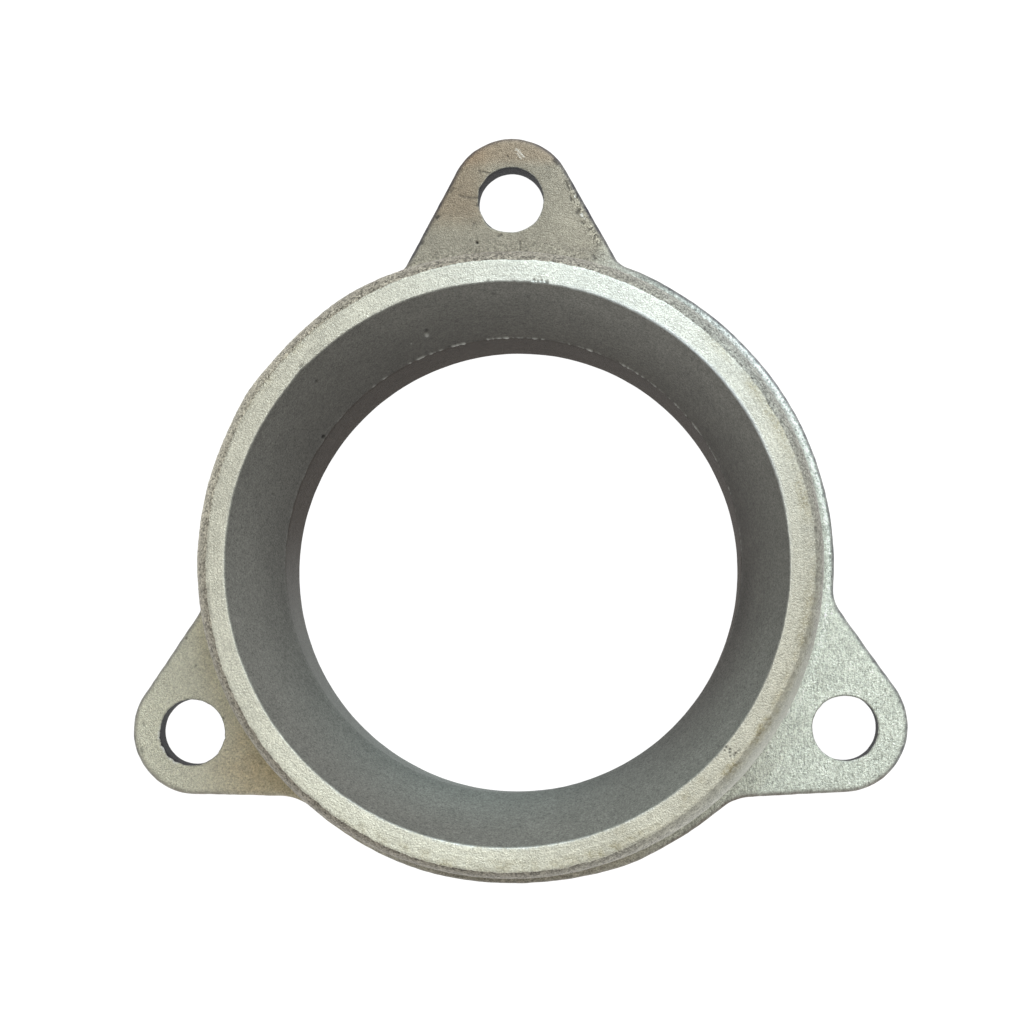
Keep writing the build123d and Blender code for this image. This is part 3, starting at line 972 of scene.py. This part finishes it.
amp = mixf(smoothness, 0.24, 0.36)
amp = mixf(A["shoulder"], amp, 0.40)
amp = mixf(A["face"], amp, 0.19)
amp = mixf(A["skin_right"], amp, 0.26)
amp = mixf(A["skin_top"], amp, 0.19)
amp = mixf(A["spark"], amp, 0.60)
amp = mixf(A["quiet"], amp, 0.16)
g_val = math_("MULTIPLY", remap(grain, 0.3, 0.7, -1.0, 1.0), amp)
s_amp = mixf(smoothness, 0.08, 0.05)
s_amp = mixf(A["shoulder"], s_amp, 0.34)
s_amp = mixf(A["face"], s_amp, 0.08)
s_amp = mixf(A["spark"], s_amp, 0.60)
s_amp = mixf(A["quiet"], s_amp, 0.06)
s_val = math_("MULTIPLY", sparkle, s_amp)
f_val = math_("MULTIPLY", remap(grain_fine, 0.3, 0.7, -1.0, 1.0), math_("MULTIPLY", amp, 0.55))
st_val = math_("MULTIPLY", remap(strokes, 0.35, 0.65, -1.0, 1.0), math_("MULTIPLY", A["skin_right"], 0.20))
tu_val = math_("MULTIPLY", remap(turned, 0.3, 0.7, -1.0, 1.0), math_("MULTIPLY", A["face"], 0.06))
m_amp = mixf(A["skin_right"], mixf(A["face"], mixf(smoothness, 0.06, 0.15), 0.09), 0.10)
m_amp = mixf(A["skin_top"], m_amp, 0.09)
mottle = math_("MULTIPLY", remap(tex_noise(1.6, 3.0, 0.65), 0.3, 0.7, -1.0, 1.0), m_amp)
total = math_("ADD", math_("ADD", g_val, s_val), math_("ADD", f_val, math_("ADD", st_val, math_("ADD", tu_val, mottle))))
gain_ = math_("MULTIPLY", math_("MULTIPLY", slow, mid), math_("ADD", total, 1.0))
gain_ = math_("MULTIPLY", gain_, A["gain"])
comb = nt.nodes.new("ShaderNodeCombineColor")
for i in range(3):
    nt.links.new(gain_, comb.inputs[i])
col = mixc(1.0, col, comb.outputs[0], "MULTIPLY")
# painted shade along the shoulder's foot
col = mixc(math_("MULTIPLY", A["crease_shade"], 0.75), col, lin(78, 70, 60))
# painted shade along the plate's outer edge, bluish above, brown below
col = mixc(math_("MULTIPLY", A["rim_shade"], 0.92), col, mixc(A["rim_brown"], lin(54, 54, 68), lin(92, 74, 60)))
# painted highlight along the mouth's inner edge
col = mixc(math_("MULTIPLY", A["lip_highlight"], 0.8), col, lin(226, 236, 242))
# painted highlights: burr glints, the throat ridge and the marks' shine
col = mixc(math_("MULTIPLY", A["shine"], 0.9, True), col, lin(246, 248, 242))
# painted shade inside pits, cracks and pores
col = mixc(math_("MULTIPLY", A["pit"], 0.92, True), col, lin(34, 32, 28))
nt.links.new(col, bsdf.inputs["Base Color"])

matte = math_("ADD", smoothness, A["pit"], True)
nt.links.new(mixf(math_("ADD", A["throat_painted_shade"], A["hole"], True), mixf(matte, 0.85, 0.20), 1.0), bsdf.inputs["Metallic"])
rgh = mixf(matte, 0.50, 0.72)
rgh = mixf(A["skin_top"], rgh, 0.58)
rgh = math_("ADD", rgh, remap(grain_fine, 0.3, 0.7, -0.09, 0.09))
nt.links.new(rgh, bsdf.inputs["Roughness"])

bump_amt = mixf(smoothness, 1.0, 0.35)
bump_amt = mixf(A["skin_top"], bump_amt, 0.7)
bump_amt = mixf(A["face"], bump_amt, 0.55)
bump_amt = mixf(A["quiet"], bump_amt, 0.35)
h = math_("ADD", grain, math_("MULTIPLY", grain_fine, 0.4))
h = math_("ADD", h, math_("MULTIPLY", strokes, math_("MULTIPLY", A["skin_right"], 0.9)))
h = math_("ADD", h, math_("MULTIPLY", turned, math_("MULTIPLY", A["face"], 0.35)))
h = math_("MULTIPLY", h, bump_amt)
bump = nt.nodes.new("ShaderNodeBump")
bump.inputs["Strength"].default_value = 1.0
bump.inputs["Distance"].default_value = 0.00018
nt.links.new(h, bump.inputs["Height"])
nt.links.new(bump.outputs[0], bsdf.inputs["Normal"])
mesh.materials.append(mat)

# ---------------------------------------------------------------- floor
fm = bpy.data.meshes.new("floor")
S = 3.0
fm.from_pydata([(-S, -S, -2e-5), (S, -S, -2e-5), (S, S, -2e-5), (-S, S, -2e-5)], [], [(0, 1, 2, 3)])
floor = bpy.data.objects.new("floor", fm)
bpy.context.scene.collection.objects.link(floor)
fmat = bpy.data.materials.new("floor_pale")
fmat.use_nodes = True
ft = fmat.node_tree
ft.nodes.clear()
fo_ = ft.nodes.new("ShaderNodeOutputMaterial")
fd = ft.nodes.new("ShaderNodeBsdfDiffuse")
fd.inputs["Color"].default_value = (0.12, 0.12, 0.12, 1)
fe = ft.nodes.new("ShaderNodeEmission")
fe.inputs["Color"].default_value = (1, 1, 1, 1)
fe.inputs["Strength"].default_value = 1.0
fadd = ft.nodes.new("ShaderNodeAddShader")
ft.links.new(fd.outputs[0], fadd.inputs[0])
ft.links.new(fe.outputs[0], fadd.inputs[1])
ftr = ft.nodes.new("ShaderNodeBsdfTransparent")
fmx = ft.nodes.new("ShaderNodeMixShader")
fgeo = ft.nodes.new("ShaderNodeNewGeometry")
ft.links.new(fgeo.outputs["Backfacing"], fmx.inputs[0])
ft.links.new(fadd.outputs[0], fmx.inputs[1])
ft.links.new(ftr.outputs[0], fmx.inputs[2])
ft.links.new(fmx.outputs[0], fo_.inputs[0])
fm.materials.append(fmat)

# ---------------------------------------------------------------- light
world = bpy.data.worlds.new("studio")
bpy.context.scene.world = world
world.use_nodes = True
wn = world.node_tree.nodes["Background"]
wn.inputs[0].default_value = (1.0, 0.975, 0.94, 1)
wn.inputs[1].default_value = 0.42


def area(name, loc, target, size, power, color):
    d = bpy.data.lights.new(name, "AREA")
    d.shape = "DISK"
    d.size = size
    d.energy = power
    d.color = color
    o = bpy.data.objects.new(name, d)
    o.location = loc
    o.rotation_mode = "QUATERNION"
    o.rotation_quaternion = (Vector(target) - Vector(loc)).to_track_quat("-Z", "Y")
    bpy.context.scene.collection.objects.link(o)
    return o


area("key_window", (0.35, 0.85, 0.75), (0, 0, 0), 0.6, 9.0, (0.86, 0.95, 1.0))
area("top_soft", (0.10, 0.10, 1.2), (0, 0, 0), 0.8, 5.0, (1.0, 0.98, 0.94))

# ---------------------------------------------------------------- camera
cam_data = bpy.data.cameras.new("camera")
cam_data.sensor_width = 36.0
cam_data.lens = 72.147
cam_data.clip_start = 0.01
cam_data.clip_end = 20.0
cam = bpy.data.objects.new("camera", cam_data)
bpy.context.scene.collection.objects.link(cam)
cam.matrix_world = Matrix(
    (
        (0.998627, 0.012057, 0.050971, 0.014060753),
        (-0.009667, 0.998854, -0.046866, -0.00609917),
        (-0.051477, 0.046309, 0.9976, 0.285233383),
        (0.0, 0.0, 0.0, 1.0),
    )
)
bpy.context.scene.camera = cam
bpy.context.scene.view_settings.view_transform = "Standard"

bpy.context.view_layer.update()
